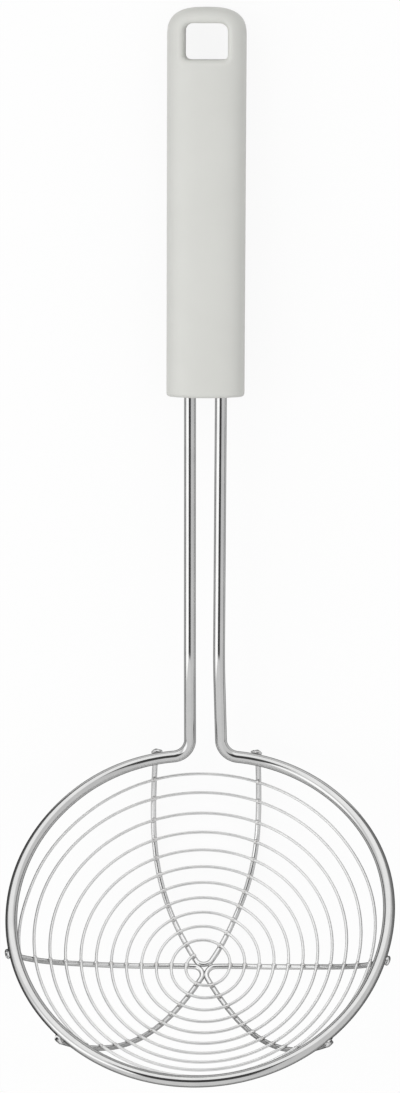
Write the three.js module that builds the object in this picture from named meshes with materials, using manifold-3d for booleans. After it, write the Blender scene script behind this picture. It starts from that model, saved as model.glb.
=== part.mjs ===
// Wire strainer: a spiral of thin wire on three rib wires, hung under a ring of thick wire
// whose two ends run as shanks into a moulded handle. Millimetres and degrees.
//
// The strainer is drawn in the ring's own frame: the ring lies in z = 0 round the origin, the
// mouth where the shanks leave it is on +Y, and the bowl hangs below. The whole is then laid
// down as it lies on a table, on the ribs and the end of the handle.

import * as THREE from 'three';
import { mergeVertices } from 'three/addons/utils/BufferGeometryUtils.js';
import Module from 'manifold-3d';

// Frame wire: the ring and the two shanks
const RING_OUTER_DIAMETER = 130;
const FRAME_WIRE_DIAMETER = 4;
const CLOSING_ARC_START = 40;
const CLOSING_ARC_TIGHTENING = 7.5;
const MOUTH_BEND_RADIUS = 6;
const SHANK_SPACING_AT_RING = 10.6;
const SHANK_SPACING_AT_KINK = 9.8;
const SHANK_SPACING_IN_HANDLE = 10.4;
const LOWER_SHANK_LENGTH = 32.8;
const LOWER_SHANK_RISE = 51;
const KINK_RADIUS = 40;
const UPPER_SHANK_LENGTH = 89.7;
const TANG_LENGTH = 40;

// Rib wires: three alike, each a V in plan, pressed to the bowl's curve
const RIB_WIRE_DIAMETER = 1.8;
const RIB_COUNT = 3;
const BOWL_DEPTH = 37.4;
const BOWL_WALL_ANGLE = 59;
const RIB_POINT_RADIUS = 3.2;
const RIB_POINT_HALF_ANGLE = 35.5;
const RIB_END_HALF_ANGLE = 15.8;
const RIB_END_RISE = 8;

// Spiral wire: wound on the inside of the ribs, from one rib to another
const SPIRAL_WIRE_DIAMETER = 1;
const SPIRAL_WHOLE_TURNS = 11;
const SPIRAL_INNER_RADIUS = 5.4;
const SPIRAL_RING_MARGIN = 1.7;
const SPIRAL_END_OVERHANG = 1.5;

// Handle: a solid moulding with an oval section
const HANDLE_LENGTH = 131.4;
const HANDLE_RISE = 33;
const HANDLE_WIDTH_AT_SHANKS = 26.2;
const HANDLE_WIDTH_AT_END = 26.7;
const HANDLE_THICKNESS = 19.5;
const HANDLE_SECTION_POWER = 2.6;
const HANDLE_END_LENGTH = 10;
const HANDLE_END_POWER = 2.8;
const HANDLE_EDGE_FILLET_RADIUS = 2.5;
const HANGING_HOLE_WIDTH = 15.2;
const HANGING_HOLE_HEIGHT = 12.4;
const HANGING_HOLE_WALL_THICKNESS = 5.8;
const HANGING_HOLE_FAR_CORNER_RADIUS = 2.8;
const HANGING_HOLE_NEAR_CORNER_RADIUS = 1.8;

// Clearances between pieces that touch on the real tool
const WELD_CLEARANCE = 0.3;
const BORE_CLEARANCE = 0.3;

// Facets
const FRAME_WIRE_SIDES = 12;
const RIB_WIRE_SIDES = 8;
const SPIRAL_WIRE_SIDES = 6;
const FACET_SAG = 0.12;
const BEND_STEPS = 6;
const RIB_LEG_STEPS = 14;
const RIB_WRAP_STEPS = 5;
const BORE_SIDES = 16;
const HANDLE_SIDES = 40;
const HANDLE_END_STEPS = 7;
const FILLET_STEPS = 3;
const REPEATS_TO_SETTLE = 30;

const wasm = await Module();
wasm.setup();

const radians = THREE.MathUtils.degToRad;
const frameRadius = FRAME_WIRE_DIAMETER / 2;
const ribRadius = RIB_WIRE_DIAMETER / 2;
const spiralRadius = SPIRAL_WIRE_DIAMETER / 2;
const ringRadius = RING_OUTER_DIAMETER / 2 - frameRadius;

const steel = { color: 0xc9cbcc, roughness: 0.18, metalness: 1 };
const plastic = { color: 0xdbdcd6, roughness: 0.55, metalness: 0 };

function piece(name, geometry, finish) {
  const mesh = new THREE.Mesh(geometry, new THREE.MeshStandardMaterial(finish));
  mesh.name = name;
  return mesh;
}

// A wire's centreline. Its stations are the given points, so they can lie close together in a
// tight bend and far apart on a straight run.
class WireLine extends THREE.Curve {
  constructor(points) {
    super();
    this.points = points;
  }

  getPoint(t, target = new THREE.Vector3()) {
    const place = t * (this.points.length - 1);
    const index = Math.min(Math.floor(place), this.points.length - 2);
    return target.lerpVectors(this.points[index], this.points[index + 1], place - index);
  }

  getPointAt(u, target) {
    return this.getPoint(u, target);
  }

  getTangentAt(u, target = new THREE.Vector3()) {
    const last = this.points.length - 1;
    const index = Math.round(u * last);
    const here = this.points[index];
    const before = this.points[Math.max(index - 1, 0)];
    const after = this.points[Math.min(index + 1, last)];
    const arriving = here.clone().sub(before).normalize();
    const leaving = after.clone().sub(here).normalize();
    return target.addVectors(arriving, leaving).normalize();
  }
}

function wire(points, radius, sides) {
  const corners = [];
  for (let i = 0; i < sides; i++) {
    const angle = (2 * Math.PI * i) / sides;
    corners.push(new THREE.Vector2(radius * Math.cos(angle), radius * Math.sin(angle)));
  }
  const section = new THREE.Shape(corners);
  return new THREE.ExtrudeGeometry(section, {
    steps: points.length - 1,
    extrudePath: new WireLine(points),
  });
}

// Points of a round bend in place of a corner, from the leg that comes in to the leg that goes out.
function bend(corner, from, to, radius, steps) {
  const back = from.clone().sub(corner).normalize();
  const ahead = to.clone().sub(corner).normalize();
  const halfCorner = back.angleTo(ahead) / 2;
  const axis = back.clone().add(ahead).normalize();
  const centre = corner.clone().addScaledVector(axis, radius / Math.sin(halfCorner));
  const start = corner.clone().addScaledVector(back, radius / Math.tan(halfCorner)).sub(centre);
  const end = corner.clone().addScaledVector(ahead, radius / Math.tan(halfCorner)).sub(centre);
  const turn = start.angleTo(end);
  const normal = start.clone().cross(end).normalize();
  const points = [];
  for (let i = 0; i <= steps; i++) {
    const spoke = start.clone().applyAxisAngle(normal, (turn * i) / steps);
    points.push(spoke.add(centre));
  }
  return points;
}

// The angle between stations on an arc whose chords leave it by the facet sag.
function stationAngle(radius) {
  return 2 * Math.acos(1 - FACET_SAG / radius);
}

// Frame wire. The right half runs from the front of the ring, up its right side, through the
// tighter arc that closes it, round the mouth bend and along the shank to the tang's end. The
// arc ends where the mouth bend begins, which is settled by repetition.
function shankDirection(rise) {
  return new THREE.Vector3(0, Math.cos(radians(rise)), Math.sin(radians(rise)));
}

function frameHalf() {
  const closingRadius = ringRadius - CLOSING_ARC_TIGHTENING;
  const closingStart = radians(CLOSING_ARC_START);
  const closingCentre = new THREE.Vector3(Math.sin(closingStart), Math.cos(closingStart), 0);
  closingCentre.multiplyScalar(CLOSING_ARC_TIGHTENING);
  const mouthX = SHANK_SPACING_AT_RING / 2;
  const lower = shankDirection(LOWER_SHANK_RISE).multiplyScalar(LOWER_SHANK_LENGTH);
  lower.x = SHANK_SPACING_AT_KINK / 2 - mouthX;
  const shankWay = lower.clone().normalize();

  let closingEnd = 0;
  let bendRun = MOUTH_BEND_RADIUS;
  for (let i = 0; i < REPEATS_TO_SETTLE; i++) {
    const wireWay = new THREE.Vector3(-Math.cos(closingEnd), Math.sin(closingEnd), 0);
    bendRun = MOUTH_BEND_RADIUS * Math.tan(wireWay.angleTo(shankWay) / 2);
    const endX = mouthX + bendRun * Math.cos(closingEnd);
    closingEnd = Math.asin((endX - closingCentre.x) / closingRadius);
  }

  const onRing = (angle, centre, radius) =>
    new THREE.Vector3(Math.sin(angle), Math.cos(angle), 0).multiplyScalar(radius).add(centre);
  const points = [];
  const ringSteps = Math.ceil((Math.PI - closingStart) / stationAngle(ringRadius));
  for (let i = 0; i < ringSteps; i++) {
    const angle = Math.PI + ((closingStart - Math.PI) * i) / ringSteps;
    points.push(onRing(angle, new THREE.Vector3(), ringRadius));
  }
  const closingSteps = Math.ceil((closingStart - closingEnd) / stationAngle(closingRadius));
  for (let i = 0; i < closingSteps; i++) {
    const angle = closingStart + ((closingEnd - closingStart) * i) / closingSteps;
    points.push(onRing(angle, closingCentre, closingRadius));
  }

  const arcEnd = onRing(closingEnd, closingCentre, closingRadius);
  const mouth = arcEnd.clone();
  mouth.x -= bendRun * Math.cos(closingEnd);
  mouth.y += bendRun * Math.sin(closingEnd);
  const kink = mouth.clone().add(lower);
  const entry = kink.clone().addScaledVector(shankDirection(HANDLE_RISE), UPPER_SHANK_LENGTH);
  entry.x = SHANK_SPACING_IN_HANDLE / 2;
  const tangEnd = entry.clone().addScaledVector(shankDirection(HANDLE_RISE), TANG_LENGTH);
  points.push(...bend(mouth, arcEnd, kink, MOUTH_BEND_RADIUS, BEND_STEPS));
  points.push(...bend(kink, mouth, entry, KINK_RADIUS, FILLET_STEPS));
  points.push(entry, tangEnd);
  return { points, entry };
}

const frame = frameHalf();
const frontOfRing = frame.points[0];
const leftHalf = frame.points.slice(1).map((p) => new THREE.Vector3(-p.x, p.y, p.z)).reverse();
const framePoints = [...leftHalf, frontOfRing, ...frame.points.slice(1)];
const frameWire = piece('frame_wire', wire(framePoints, frameRadius, FRAME_WIRE_SIDES), steel);

// Bowl. In section the ribs' centreline is z = -depth + c2 r^2 + c4 r^4, which runs without a
// corner into the arc that wraps the ring's outside.
const wrapRadius = frameRadius + ribRadius + WELD_CLEARANCE;
const wrapStart = radians(BOWL_WALL_ANGLE - 90);
const wrapEnd = radians(RIB_END_RISE);
const wallTop = { r: ringRadius + wrapRadius * Math.cos(wrapStart), z: wrapRadius * Math.sin(wrapStart) };
const wallSlope = Math.tan(radians(BOWL_WALL_ANGLE));
const bowlC4 = ((wallTop.r * wallSlope) / 2 - wallTop.z - BOWL_DEPTH) / wallTop.r ** 4;
const bowlC2 = wallSlope / (2 * wallTop.r) - 2 * bowlC4 * wallTop.r ** 2;

function bowlHeight(r) {
  return -BOWL_DEPTH + bowlC2 * r ** 2 + bowlC4 * r ** 4;
}

function bowlAngle(r) {
  return Math.atan(2 * bowlC2 * r + 4 * bowlC4 * r ** 3);
}

// A rib in plan, in its own frame: y along its axis, out from the bowl's centre, and x sideways.
// The V has a round point, so far out that the points of all ribs lie side by side, and legs
// that leave it at the point's half angle and bow until they are parallel to the axis at the ring.
const pointAngle = radians(RIB_POINT_HALF_ANGLE);
const pointSpacing = 2 * RIB_POINT_RADIUS + RIB_WIRE_DIAMETER + WELD_CLEARANCE;
const pointCentre = pointSpacing / (2 * Math.sin(Math.PI / RIB_COUNT));
const legStart = {
  x: RIB_POINT_RADIUS * Math.cos(pointAngle),
  y: pointCentre - RIB_POINT_RADIUS * Math.sin(pointAngle),
};
const tipRadius = ringRadius + wrapRadius * Math.cos(wrapEnd);
const tipAngle = radians(RIB_END_HALF_ANGLE);
const legEnd = { x: tipRadius * Math.sin(tipAngle), y: tipRadius * Math.cos(tipAngle) };
const legReach = legEnd.y - legStart.y;
const legSpread = legEnd.x - legStart.x;
const legPower = (Math.tan(pointAngle) * legReach) / legSpread;

function legSide(y) {
  const left = Math.max(0, 1 - (y - legStart.y) / legReach);
  return legStart.x + legSpread * (1 - left ** legPower);
}

// The point of a rib's right leg at a distance r from the bowl's axis, settled by repetition.
function legAt(r) {
  let y = r;
  for (let i = 0; i < REPEATS_TO_SETTLE; i++) {
    y = Math.sqrt(r ** 2 - legSide(y) ** 2);
  }
  return { x: legSide(y), y };
}

function ribPoints() {
  const leg = [];
  for (let i = 1; i <= BEND_STEPS; i++) {
    const angle = ((Math.PI / 2 - pointAngle) * i) / FILLET_STEPS;
    const x = RIB_POINT_RADIUS * Math.sin(angle);
    const y = pointCentre - RIB_POINT_RADIUS * Math.cos(angle);
    leg.push(new THREE.Vector3(x, y, bowlHeight(Math.hypot(x, y))));
  }
  const start = Math.hypot(legStart.x, legStart.y);
  for (let i = 1; i <= RIB_LEG_STEPS; i++) {
    const r = start + ((wallTop.r - start) * i) / RIB_LEG_STEPS;
    const place = legAt(r);
    leg.push(new THREE.Vector3(place.x, place.y, bowlHeight(r)));
  }
  for (let i = 1; i <= RIB_WRAP_STEPS; i++) {
    const turn = wrapStart + ((wrapEnd - wrapStart) * i) / RIB_WRAP_STEPS;
    const place = legAt(ringRadius + wrapRadius * Math.cos(turn));
    leg.push(new THREE.Vector3(place.x, place.y, wrapRadius * Math.sin(turn)));
  }
  const tip = pointCentre - RIB_POINT_RADIUS;
  const mirrored = leg.map((p) => new THREE.Vector3(-p.x, p.y, p.z)).reverse();
  return [...mirrored, new THREE.Vector3(0, tip, bowlHeight(tip)), ...leg];
}

const ribNames = ['rib_wire_back', 'rib_wire_left', 'rib_wire_right'];
const ribs = ribNames.map((name, i) => {
  const rib = piece(name, wire(ribPoints(), ribRadius, RIB_WIRE_SIDES), steel);
  rib.rotation.z = (2 * Math.PI * i) / RIB_COUNT;
  return rib;
});

// Spiral. It lies on the inside of the ribs, a wire's thickness above their curve, and widens
// evenly from the left leg of the back rib to the nearer leg of the left rib.
const seat = ribRadius + spiralRadius + WELD_CLEARANCE;

function spiralHeight(r) {
  let under = r;
  for (let i = 0; i < REPEATS_TO_SETTLE; i++) {
    under = r + seat * Math.sin(bowlAngle(under));
  }
  return bowlHeight(under) + seat * Math.cos(bowlAngle(under));
}

function legAngle(r) {
  const place = legAt(r);
  return Math.atan2(place.x, place.y);
}

const spiralOuterRadius = ringRadius - SPIRAL_RING_MARGIN;
const backRibAxis = Math.PI / 2;
const leftRibAxis = backRibAxis + (2 * Math.PI) / RIB_COUNT;
const spiralStart = backRibAxis + legAngle(SPIRAL_INNER_RADIUS) - SPIRAL_END_OVERHANG / SPIRAL_INNER_RADIUS;
const spiralFinish =
  leftRibAxis - legAngle(spiralOuterRadius) + SPIRAL_END_OVERHANG / spiralOuterRadius +
  2 * Math.PI * SPIRAL_WHOLE_TURNS;
const spiralGain = (spiralOuterRadius - SPIRAL_INNER_RADIUS) / (spiralFinish - spiralStart);

function spiralPoint(angle) {
  const r = SPIRAL_INNER_RADIUS + spiralGain * (angle - spiralStart);
  return new THREE.Vector3(r * Math.cos(angle), r * Math.sin(angle), spiralHeight(r));
}

function spiralPoints() {
  const points = [];
  let angle = spiralStart;
  while (angle < spiralFinish) {
    const point = spiralPoint(angle);
    points.push(point);
    angle += stationAngle(Math.hypot(point.x, point.y));
  }
  points.push(spiralPoint(spiralFinish));
  return points;
}

// The least gap between one turn and the next, on points of the centreline.
function leastGap() {
  const fullTurn = 2 * Math.PI;
  const samplesPerTurn = 90;
  let least = Infinity;
  for (let angle = spiralStart; angle + fullTurn <= spiralFinish; angle += fullTurn / samplesPerTurn) {
    const here = spiralPoint(angle);
    for (let i = -3; i <= 3; i++) {
      const there = spiralPoint(Math.min(angle + fullTurn + (fullTurn * i) / samplesPerTurn, spiralFinish));
      least = Math.min(least, here.distanceTo(there));
    }
  }
  return least - SPIRAL_WIRE_DIAMETER;
}

console.log(`spiral wire's least gap to itself: ${leastGap().toFixed(2)} mm`);
const spiral = piece('spiral_wire', wire(spiralPoints(), spiralRadius, SPIRAL_WIRE_SIDES), steel);

// Handle, drawn with its shank end at y = 0 and its length along +Y. Its section is a
// superellipse, its shank end has a small fillet and its other end closes as a superellipse too.
function handleRing(y, halfWidth, halfThickness) {
  const ring = [];
  for (let i = 0; i < HANDLE_SIDES; i++) {
    const angle = (2 * Math.PI * i) / HANDLE_SIDES;
    const x = Math.sign(Math.cos(angle)) * Math.abs(Math.cos(angle)) ** (2 / HANDLE_SECTION_POWER);
    const z = Math.sign(Math.sin(angle)) * Math.abs(Math.sin(angle)) ** (2 / HANDLE_SECTION_POWER);
    ring.push(new THREE.Vector3(x * halfWidth, y, z * halfThickness));
  }
  return ring;
}

function handleRings() {
  const shankHalf = HANDLE_WIDTH_AT_SHANKS / 2;
  const endHalf = HANDLE_WIDTH_AT_END / 2;
  const halfThickness = HANDLE_THICKNESS / 2;
  const endStart = HANDLE_LENGTH - HANDLE_END_LENGTH;
  const rings = [];
  for (let i = 0; i <= FILLET_STEPS; i++) {
    const turn = (Math.PI / 2) * (i / FILLET_STEPS);
    const inset = HANDLE_EDGE_FILLET_RADIUS * (1 - Math.sin(turn));
    const y = HANDLE_EDGE_FILLET_RADIUS * (1 - Math.cos(turn));
    rings.push(handleRing(y, shankHalf - inset, halfThickness - inset));
  }
  for (let i = 0; i < HANDLE_END_STEPS; i++) {
    const turn = (Math.PI / 2) * (i / HANDLE_END_STEPS);
    const along = Math.sin(turn) ** (2 / HANDLE_END_POWER);
    const share = Math.cos(turn) ** (2 / HANDLE_END_POWER);
    rings.push(handleRing(endStart + HANDLE_END_LENGTH * along, endHalf * share, halfThickness * share));
  }
  return rings;
}

// A closed skin over rings of points, with a flat fan on the first and a point at the end.
function loft(rings, endPoint) {
  const count = rings[0].length;
  const first = new THREE.Vector3();
  rings[0].forEach((p) => first.add(p));
  first.divideScalar(count);
  const points = [first, ...rings.flat(), endPoint];
  const last = points.length - 1;
  const at = (ring, i) => 1 + ring * count + (i % count);
  const faces = [];
  for (let i = 0; i < count; i++) {
    faces.push(0, at(0, i), at(0, i + 1));
    for (let ring = 0; ring + 1 < rings.length; ring++) {
      faces.push(at(ring, i), at(ring + 1, i), at(ring + 1, i + 1));
      faces.push(at(ring, i), at(ring + 1, i + 1), at(ring, i + 1));
    }
    faces.push(at(rings.length - 1, i), last, at(rings.length - 1, i + 1));
  }
  const geometry = new THREE.BufferGeometry().setFromPoints(points);
  geometry.setIndex(faces);
  return geometry;
}

function solid(geometry) {
  geometry.deleteAttribute('normal');
  geometry.deleteAttribute('uv');
  const merged = mergeVertices(geometry);
  return new wasm.Manifold(new wasm.Mesh({
    numProp: 3,
    vertProperties: new Float32Array(merged.attributes.position.array),
    triVerts: new Uint32Array(merged.index.array),
  }));
}

function skin(manifold) {
  const mesh = manifold.getMesh();
  const geometry = new THREE.BufferGeometry();
  geometry.setAttribute('position', new THREE.BufferAttribute(mesh.vertProperties, 3));
  geometry.setIndex(new THREE.BufferAttribute(mesh.triVerts, 1));
  geometry.computeVertexNormals();
  return geometry;
}

// The hanging hole's cutter: a rectangle with round corners, through the handle's thickness.
function hangingHole() {
  const half = HANGING_HOLE_WIDTH / 2;
  const far = HANDLE_LENGTH - HANGING_HOLE_WALL_THICKNESS;
  const near = far - HANGING_HOLE_HEIGHT;
  const farCorner = HANGING_HOLE_FAR_CORNER_RADIUS;
  const nearCorner = HANGING_HOLE_NEAR_CORNER_RADIUS;
  const outline = new THREE.Shape();
  outline.absarc(half - nearCorner, near + nearCorner, nearCorner, -Math.PI / 2, 0, false);
  outline.absarc(half - farCorner, far - farCorner, farCorner, 0, Math.PI / 2, false);
  outline.absarc(farCorner - half, far - farCorner, farCorner, Math.PI / 2, Math.PI, false);
  outline.absarc(nearCorner - half, near + nearCorner, nearCorner, Math.PI, 1.5 * Math.PI, false);
  outline.closePath();
  const depth = 2 * HANDLE_THICKNESS;
  const form = { depth, bevelEnabled: false, curveSegments: BEND_STEPS };
  const cutter = new THREE.ExtrudeGeometry(outline, form);
  return solid(cutter.translate(0, 0, -depth / 2));
}

// A blind bore's cutter, from outside the shank end to just past the tang's end.
function tangBore(x) {
  const depth = TANG_LENGTH + BORE_CLEARANCE;
  const radius = frameRadius + BORE_CLEARANCE;
  const cutter = new THREE.CylinderGeometry(radius, radius, 2 * depth, BORE_SIDES);
  return solid(cutter.translate(x, 0, 0));
}

const handleBody = solid(loft(handleRings(), new THREE.Vector3(0, HANDLE_LENGTH, 0)));
const boreX = SHANK_SPACING_IN_HANDLE / 2;
const handleSolid = handleBody.subtract(hangingHole()).subtract(tangBore(boreX)).subtract(tangBore(-boreX));
const handle = piece('handle', skin(handleSolid), plastic);
handle.rotation.x = radians(HANDLE_RISE);
handle.position.set(0, frame.entry.y, frame.entry.z);

// The strainer as it lies: tipped about X until the bowl and the handle both touch z = 0.
const strainer = new THREE.Group();
const wires = [frameWire, ...ribs, spiral];
strainer.add(...wires, handle);

function lowest(mesh) {
  return new THREE.Box3().setFromObject(mesh, true).min.z;
}

// How much higher the handle's lowest point lies than the wires', at an angle of tipping.
function handleLift(angle) {
  strainer.rotation.x = -angle;
  strainer.updateMatrixWorld(true);
  return lowest(handle) - Math.min(...wires.map(lowest));
}

let tipLow = 0;
let tipHigh = Math.PI / 2;
for (let i = 0; i < REPEATS_TO_SETTLE; i++) {
  const middle = (tipLow + tipHigh) / 2;
  if (handleLift(middle) > 0) {
    tipLow = middle;
  } else {
    tipHigh = middle;
  }
}
handleLift((tipLow + tipHigh) / 2);

const box = new THREE.Box3().setFromObject(strainer, true);
const centre = box.getCenter(new THREE.Vector3());
strainer.position.set(-centre.x, -centre.y, -box.min.z);
console.log(`tipped by ${THREE.MathUtils.radToDeg(-strainer.rotation.x).toFixed(3)} degrees`);

const part = new THREE.Group();
part.add(strainer);
export default part;
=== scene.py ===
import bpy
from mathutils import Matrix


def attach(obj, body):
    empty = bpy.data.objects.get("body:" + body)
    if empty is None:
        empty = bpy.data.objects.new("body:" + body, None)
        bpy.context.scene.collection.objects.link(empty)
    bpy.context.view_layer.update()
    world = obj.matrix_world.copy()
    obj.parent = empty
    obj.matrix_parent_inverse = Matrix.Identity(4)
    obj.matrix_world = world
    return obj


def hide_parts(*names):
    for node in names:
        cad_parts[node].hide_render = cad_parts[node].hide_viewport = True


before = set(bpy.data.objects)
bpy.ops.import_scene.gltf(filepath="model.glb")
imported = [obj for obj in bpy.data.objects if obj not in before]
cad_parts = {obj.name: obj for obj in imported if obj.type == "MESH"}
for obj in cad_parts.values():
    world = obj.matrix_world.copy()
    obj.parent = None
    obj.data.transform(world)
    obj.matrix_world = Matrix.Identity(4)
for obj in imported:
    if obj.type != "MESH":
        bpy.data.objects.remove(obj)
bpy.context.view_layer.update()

import math

import bpy
import numpy as np
from mathutils import Euler, Vector

# The frame wire: one length of round stainless wire, drawn and polished, cold-bent into the ring and,
# round two tight bends at the ring's mouth, into two shanks side by side. The shanks rise steeply, bend
# back at a kink and run into the handle. Lengths are in millimetres, in the ring's own frame.
MM = 0.001
RING_RADIUS = 63.0
FRAME_WIRE_RADIUS = 2.0
CLOSING_ARC_START = math.radians(40.0)
CLOSING_ARC_TIGHTENING = 7.5
MOUTH_BEND_RADIUS = 6.0
SHANK_X_AT_RING = 5.3
SHANK_X_AT_KINK = 4.9
SHANK_X_IN_HANDLE = 5.2
LOWER_SHANK_LENGTH = 32.8
LOWER_SHANK_RISE = math.radians(51.0)
KINK_RADIUS = 40.0
UPPER_SHANK_LENGTH = 89.7
HANDLE_RISE = math.radians(33.0)
TANG_LENGTH = 40.0
FRAME_WIRE_SIDES = 32
RING_STEPS = 150
CLOSING_STEPS = 34
BEND_STEPS = 16
CUT_EDGE = 0.4
CUT_EDGE_STEPS = 4
REPEATS_TO_SETTLE = 30
RING_BULGE = 0.85
RING_BULGE_START = math.radians(-22.0)
RING_BULGE_END = math.radians(68.0)
RING_FRONT_SHARE = 0.8
NEARLY_ALONG = 0.1
POLISHED_STEEL = (0.56, 0.56, 0.555)
POLISHED_STEEL_DULL = (0.51, 0.51, 0.51)
POLISHED_ROUGHNESS = (0.08, 0.14)
POLISHED_LINE_RELIEF = 0.1
POLISHED_EDGE_TINT = 0.05
DRAWN_LINE_SCALE = (60.0, 6000.0, 1.0)
DRAWN_LINE_DEPTH = 0.01
POLISH_CLOUD_SCALE = 120.0
NOISE_LOW = 0.3
NOISE_HIGH = 0.7
NOISE_DETAIL = 3.0
MIX_COLOUR_A = 6
MIX_COLOUR_B = 7
MIX_COLOUR_RESULT = 2


def ring_seat():
    """The ring's middle and its axes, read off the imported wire: across, to the handle, out of the bowl."""
    wire = np.array([vertex.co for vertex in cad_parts["frame_wire"].data.vertices])
    front = wire[wire[:, 1] < wire[:, 1].min() + RING_FRONT_SHARE * RING_RADIUS * MM]
    out_of_bowl = np.linalg.svd(front - front.mean(axis=0), full_matrices=False)[2][2]
    out_of_bowl *= math.copysign(1.0, out_of_bowl[2])
    across = np.array((1.0, 0.0, 0.0))
    to_handle = np.cross(out_of_bowl, across)
    flat = np.column_stack((front @ across, front @ to_handle))
    circle = np.column_stack((2.0 * flat, np.ones(len(flat))))
    centre = np.linalg.lstsq(circle, (flat ** 2).sum(axis=1), rcond=None)[0]
    height = (front @ out_of_bowl).mean()
    middle = centre[1] * to_handle + height * out_of_bowl
    return middle, np.array((across, to_handle, out_of_bowl))


RING_MIDDLE, RING_AXES = ring_seat()


def as_it_lies(points):
    """Points of the ring's frame, in metres, as the strainer lies on the table."""
    return RING_MIDDLE + MM * np.asarray(points) @ RING_AXES


def unit(vector):
    """Vectors with their ways kept and their lengths made one."""
    return vector / np.linalg.norm(vector, axis=-1, keepdims=True)


def eased(share):
    """A share from nothing to all that starts and ends softly."""
    share = np.clip(share, 0.0, 1.0)
    return share * share * (3.0 - 2.0 * share)


def rising(angle):
    """The way of a shank that rises from the ring's plane by an angle."""
    return np.array((0.0, math.cos(angle), math.sin(angle)))


def round_bend(corner, start, end, radius):
    """Points of a round bend in place of the corner between two straight runs."""
    back = unit(start - corner)
    ahead = unit(end - corner)
    half_corner = math.acos(back @ ahead) / 2.0
    centre = corner + unit(back + ahead) * radius / math.sin(half_corner)
    first = unit(corner + back * radius / math.tan(half_corner) - centre)
    last = unit(corner + ahead * radius / math.tan(half_corner) - centre)
    turn = math.pi - 2.0 * half_corner
    side = unit(last - first * (first @ last))
    angles = np.linspace(0.0, turn, BEND_STEPS + 1)[:, None]
    return centre + radius * (np.cos(angles) * first + np.sin(angles) * side)


def on_circle(angles, centre, radius):
    """Points on a circle in the ring's plane, at angles from the mouth towards the right."""
    flat = np.column_stack((np.sin(angles), np.cos(angles), np.zeros_like(angles)))
    return centre + radius * flat


def frame_half():
    """The frame wire's right half, from the front of the ring to the end of the tang in the handle."""
    closing_radius = RING_RADIUS - CLOSING_ARC_TIGHTENING
    closing_centre = on_circle(np.array([CLOSING_ARC_START]), 0.0, CLOSING_ARC_TIGHTENING)[0]
    lower = rising(LOWER_SHANK_RISE) * LOWER_SHANK_LENGTH
    lower[0] = SHANK_X_AT_KINK - SHANK_X_AT_RING
    closing_end = 0.0
    for _ in range(REPEATS_TO_SETTLE):
        wire_way = np.array((-math.cos(closing_end), math.sin(closing_end), 0.0))
        bend_run = MOUTH_BEND_RADIUS * math.tan(math.acos(wire_way @ unit(lower)) / 2.0)
        end_x = SHANK_X_AT_RING + bend_run * math.cos(closing_end)
        closing_end = math.asin((end_x - closing_centre[0]) / closing_radius)
    ring = on_circle(np.linspace(math.pi, CLOSING_ARC_START, RING_STEPS + 1), 0.0, RING_RADIUS)
    closing_angles = np.linspace(CLOSING_ARC_START, closing_end, CLOSING_STEPS + 1)
    closing = on_circle(closing_angles, closing_centre, closing_radius)
    mouth = closing[-1] + bend_run * np.array((-math.cos(closing_end), math.sin(closing_end), 0.0))
    kink = mouth + lower
    entry = kink + rising(HANDLE_RISE) * UPPER_SHANK_LENGTH
    entry[0] = SHANK_X_IN_HANDLE
    tang_end = entry + rising(HANDLE_RISE) * TANG_LENGTH
    mouth_bend = round_bend(mouth, closing[-1], kink, MOUTH_BEND_RADIUS)
    kink_bend = round_bend(kink, mouth, entry, KINK_RADIUS)
    half = np.vstack((ring, closing[1:-1], mouth_bend, kink_bend, entry, tang_end))
    return half, entry


def mirrored(half):
    """A whole wire from its right half, whose first point lies on the middle line."""
    return np.vstack((half[:0:-1] * (-1.0, 1.0, 1.0), half))


def out_of_round(points):
    """The ring as it was bent, bulging a little on its right side, on the way to the mouth."""
    share = (np.arctan2(points[:, 1], points[:, 0]) - RING_BULGE_START) / (RING_BULGE_END - RING_BULGE_START)
    swell = RING_BULGE * eased(2.0 * share) * eased(2.0 - 2.0 * share)
    return points + swell[:, None] * unit(points * (1.0, 1.0, 0.0))


def swept_frames(points):
    """The wire's way at each point, and two directions across it that turn as little as they can."""
    runs = unit(np.diff(points, axis=0))
    ways = unit(np.vstack((runs[:1], runs[:-1] + runs[1:], runs[-1:])))
    start = np.cross(ways[0], (0.0, 0.0, 1.0))
    if np.linalg.norm(start) < NEARLY_ALONG:
        start = np.cross(ways[0], (1.0, 0.0, 0.0))
    across = [unit(start)]
    for way in ways[1:]:
        across.append(unit(across[-1] - way * (across[-1] @ way)))
    across = np.array(across)
    return ways, across, np.cross(ways, across)


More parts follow.
